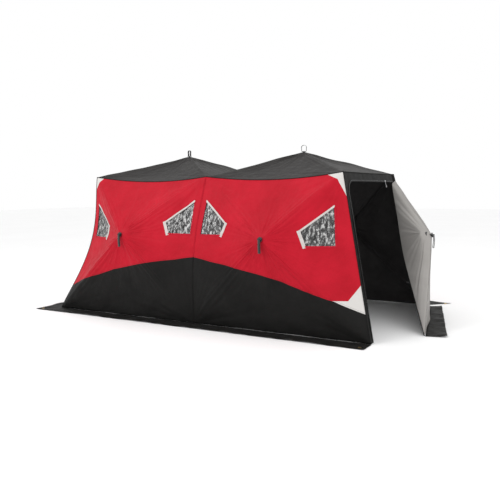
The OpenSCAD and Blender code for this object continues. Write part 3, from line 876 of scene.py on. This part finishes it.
# inner line, outer line, columns, eyelets on it, seed
lines = {
    "front": ([V(door_l, -in_w, 0), V(-in_l, -in_w, 0)], [V(door_l, -out_w, 0), V(-out_l, -out_w, 0)],
              240, [2, 3], 5),
    "left": ([V(-in_l, -in_w, 0), V(-in_l, in_w, 0)], [V(-out_l, -out_w, 0), V(-out_l, out_w, 0)],
             150, [0, 2], 8),
    "back": ([V(-in_l, in_w, 0), V(in_l, in_w, 0)], [V(-out_l, out_w, 0), V(out_l, out_w, 0)],
             240, [0, 1], 11),
}
for key, (a, b, cols, which, seed) in lines.items():
    o = strip(f"{key}_snow_skirt", a, b, cols, 10, 0.022, seed, SKIRT_M,
              eyelets=[eyes[i] for i in which])
    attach(o, "shelter")
    declare(o)
    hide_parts("snow_skirt", "anchor_patches")

# ---- Door end ----
def on_end(y, z):
    return V(base_corner(1, 0, z)[0], y, z)


def doorway(grow):
    """The doorway's edge, from the floor up the front column and back under the roof."""
    top, r, w = TOP - 0.104 + grow, 0.19, 0.078 - grow
    fy = lambda z: base_corner(1, -1, z)[1] + 0.008
    pts = [on_end(fy(HEM + (top - r - HEM) * t) + w, HEM + (top - r - HEM) * t)
           for t in np.linspace(0, 1, 60)]
    y0 = fy(top - r) + w
    pts += [on_end(y0 + r * (1 - math.cos(a)), top - r + r * math.sin(a))
            for a in np.linspace(0.05, math.pi / 2, 16)]
    pts += [on_end(y0 + r + (0.80 - y0 - r) * t, top) for t in np.linspace(0.02, 1, 50)]
    return pts


inner = doorway(0)
col = corner_edge(1, -1)
topf = end_top_edge(1)
outer = []
for k, p in enumerate(inner):
    if k < 68:
        t = min(max((TOP - (HEM + (TOP - 0.01 - HEM) * k / 68.0)) / (TOP - HEM), 0), 1)
        outer.append(col(t))
    else:
        y = -ROOF_W + (0.80 + ROOF_W) * (k - 68) / (len(inner) - 1 - 68)
        outer.append(topf((y + ROOF_W) / (2 * ROOF_W)))
rows = 6
verts, faces = [], []
A, B = np.array(outer), np.array(inner)
C = len(A)
q = np.linspace(0, 1, rows + 1)
P = A[:, None] + q[None, :, None] * (B - A)[:, None]
ripple = 0.0035 * wave(np.arange(C) * 0.25, 5, 4)[:, None] * (q * (1 - q) * 4)[None]
P = P + ripple[..., None] * right_normal
verts = np.concatenate([P.reshape(-1, 3), (P - 0.005 * right_normal).reshape(-1, 3)])
k, R = C * (rows + 1), rows + 1
for i in range(C - 1):
    for j in range(rows):
        x = i * R + j
        faces.append((x, x + 1, x + R + 1, x + R))
        faces.append((x + k, x + R + k, x + R + 1 + k, x + 1 + k))
    for x in (i * R, i * R + rows):
        f = (x, x + R, x + R + k, x + k)
        faces.append(f if x % R == 0 else f[::-1])
o = make("door_frame_fabric", verts, faces, [BIND], [(v[1], v[2]) for v in verts])
bm = bmesh.new()
bm.from_mesh(o.data)
bmesh.ops.recalc_face_normals(bm, faces=bm.faces)
bm.to_mesh(o.data)
bm.free()
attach(o, "shelter")
declare(o)
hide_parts("door_frame")

# Zip coil: small teeth on a tape
parts = []
tape_line = [p + 0.0016 * right_normal for p in doorway(0.012)]


def across_tape(i):
    ahead, behind = tape_line[min(i + 1, len(tape_line) - 1)], tape_line[max(i - 1, 0)]
    return np.cross(right_normal, unit(ahead - behind))


v, f, u = ribbon(tape_line, across_tape, 0.026, 0.0016)
parts.append((v, f, u, 0))
L = np.cumsum([0] + [np.linalg.norm(b - a) for a, b in zip(tape_line, tape_line[1:])])
x = 0.01
while x < L[-1] - 0.01:
    i = min(np.searchsorted(L, x, side="right") - 1, len(tape_line) - 2)
    d = unit(tape_line[i + 1] - tape_line[i])
    p = tape_line[i] + d * (x - L[i]) + 0.0015 * right_normal
    w = np.cross(right_normal, d)
    v, f, u = ribbon([p - 0.005 * w, p, p + 0.005 * w], d, 0.0034, 0.0026)
    parts.append((v, f, u, 1))
    x += 0.0062
o = joined("door_zip_coil", parts, [BIND, ZIP], smooth=False)
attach(o, "shelter")
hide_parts("door_zipper")

# The door: one sheet from the back column, over its hub and back along its free edge
foot, top_pt = V(2.575, -0.610, HEM), roof_corner(1, 1) - V(-0.012, 0.120, 0.125)
colf = corner_edge(1, 1)
inside = unit(V(0.7154, 0.665, -0.2143))
door_top = colf(0.045) + V(0.004, -0.004, 0)
door_low = colf(0.992)


def door_free(t):
    """The free edge, from the floor up."""
    p = foot + (top_pt - foot) * t
    return p + bump1(t) * V(-0.03, -0.035, 0.02) + V(0.012, -0.010, 0) * math.sin(9 * t + 0.6) * bump1(t)


def door_bottom(t):
    p = door_low + (foot - door_low) * t
    return p + bump1(t) * V(0.03, 0, 0) + V(0.010, 0.0, 0) * math.sin(14 * t) * bump1(t)


door_edges = [lambda t: colf(0.045 + (0.992 - 0.045) * t), door_bottom, door_free,
              lambda t: top_pt + (door_top - top_pt) * t]
COLS_D = 56
ring = np.concatenate([np.array([e(f) for f in np.linspace(0, 1, COLS_D, endpoint=False)])
                       for e in door_edges])
hubp = right_hub
R_ = 52
r = 0.012 + 0.988 * np.linspace(0, 1, R_) ** 0.85
P = hubp + r[None, :, None] * (ring[:, None] - hubp)
s = np.arange(4 * COLS_D) / COLS_D
fold = ((s >= 2) & (s < 3)).astype(float)
f3 = np.clip(s - 2, 0, 1)
lift = 0.135 * np.sin(math.pi * f3) ** 0.6 * fold
P = P - (lift[:, None] * (np.clip(r / 0.06, 0, 1) * (1 - r) ** 0.9)[None])[..., None] * inside
for lo, nn in ((0, right_normal), (1, right_normal)):
    f_ = np.clip(s - lo, 0, 1) * ((s >= lo) & (s < lo + 1))
    P = P - (0.035 * bump1(f_)[:, None] * (4 * r * (1 - r))[None])[..., None] * nn
D = 0.012 * wave(s * 2 * math.pi, 91, 8, 2.4)[:, None] * (np.clip(r / 0.2, 0, 1) * (1 - r ** 10))[None]
slack = 0.008 * wave(P[..., 2] * 3 + P[..., 1] * 2, 92, 4, 1.5)
D += slack * (1 - r ** 8)[None] * np.clip(r / 0.2, 0, 1)[None]
P = P + D[..., None] * (-inside * fold[:, None, None] + right_normal * (1 - fold)[:, None, None]) * 0.8
C = P.shape[0]
# outward direction at each column, for the thickness
outd = np.where(fold[:, None] > 0, -inside[None], right_normal[None])
for _ in range(6):
    outd = (np.roll(outd, 1, 0) + outd * 2 + np.roll(outd, -1, 0)) / 4
outd /= np.linalg.norm(outd, axis=1)[:, None]
Q = P - 0.004 * outd[:, None]
verts = np.concatenate([P.reshape(-1, 3), Q.reshape(-1, 3)])
k = C * R_
faces, mi = [], []
for c in range(C):
    d = (c + 1) % C
    for j in range(R_ - 1):
        a, b, e, g = c * R_ + j, c * R_ + j + 1, d * R_ + j + 1, d * R_ + j
        faces.append((a, b, e, g)); mi.append(0)
        faces.append((a + k, g + k, e + k, b + k)); mi.append(1)
    a, g = c * R_ + R_ - 1, d * R_ + R_ - 1
    faces.append((a, a + k, g + k, g)); mi.append(1)
    a, g = c * R_, d * R_
    faces.append((a, g, g + k, a + k)); mi.append(1)
uv = [(v[0] * 0.6 + v[1], v[2]) for v in verts]
o = make("door_fabric", verts, faces, [FLAP, LINING], uv, mi)
declare(o)
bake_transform(o)
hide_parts("door_flap")

# Binding along the door's free edge
v, f, u = tube([door_free(t) for t in np.linspace(0, 1, 70)], 0.006, 8)
edge_bind = make("door_edge_binding", v, f, [BIND], u)
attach(edge_bind, "door_wing")

# Skirt of the door
a0 = door_low + 0.06 * (foot - door_low)
outv = unit(V((foot - door_low)[1], -(foot - door_low)[0], 0))
if outv[0] < 0:
    outv = -outv
o = strip("door_snow_skirt", [foot + 0.012 * outv, a0 + 0.012 * outv],
          [foot + SKIRT * outv, a0 + 0.7 * SKIRT * outv], 110, 10, 0.030, 15, SKIRT_M)
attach(o, "door_wing")
declare(o)
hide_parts("door_flap_skirt")

# ---- Materials of the hard CAD nodes ----
def dress(node, mat):
    me = nodes[node].data
    me.materials.clear()
    me.materials.append(mat)


for name in nodes:
    if nodes[name].hide_render:
        continue
    if name.endswith("_hub") or name.endswith("_brackets") or name == "door_tie_back":
        dress(name, PLASTIC)
    elif name.endswith("_poles"):
        dress(name, POLE)
    elif name == "anchor_eyelets":
        dress(name, BRASS)
    elif name == "zip_slider":
        dress(name, STEEL)

# ---- Stage ----
def floor_material():
    m, t, p = new_material("studio_floor")
    n = N(t)
    pos = n.add("ShaderNodeTexCoord").outputs["Object"]
    tone = n.ramp(n.noise(pos, 0.6, 2.0), [(0.2, (0.94, 0.94, 0.94)), (0.8, (0.97, 0.97, 0.97))])
    t.links.new(tone, p.inputs["Base Color"])
    p.inputs["Roughness"].default_value = 0.8
    return m


wide = 40.0
floor = make("floor", [(x * wide, y * wide, -0.001) for x, y in ((-1, -1), (1, -1), (1, 1), (-1, 1))],
             [(0, 1, 2, 3)], [floor_material()])
world = bpy.data.worlds.new("studio")
scene.world = world
world.use_nodes = True
world.node_tree.nodes["Background"].inputs[0].default_value = (1, 1, 1, 1)
world.node_tree.nodes["Background"].inputs[1].default_value = 1.0


def light(name, pos, target, size, power):
    d = bpy.data.lights.new(name, "AREA")
    d.size = size
    d.energy = power
    o = bpy.data.objects.new(name, d)
    o.location = pos
    o.rotation_euler = (Vector(target) - Vector(pos)).to_track_quat("-Z", "Y").to_euler()
    scene.collection.objects.link(o)


light("key", (-3.5, -7.0, 6.0), (0, 0, 0.8), 4.0, 210)
light("fill", (7.0, -4.0, 4.0), (1.5, 0, 0.8), 4.0, 60)
light("top", (0.0, 1.0, 7.5), (0, 0, 0), 6.0, 90)
scene.view_settings.view_transform = "Standard"
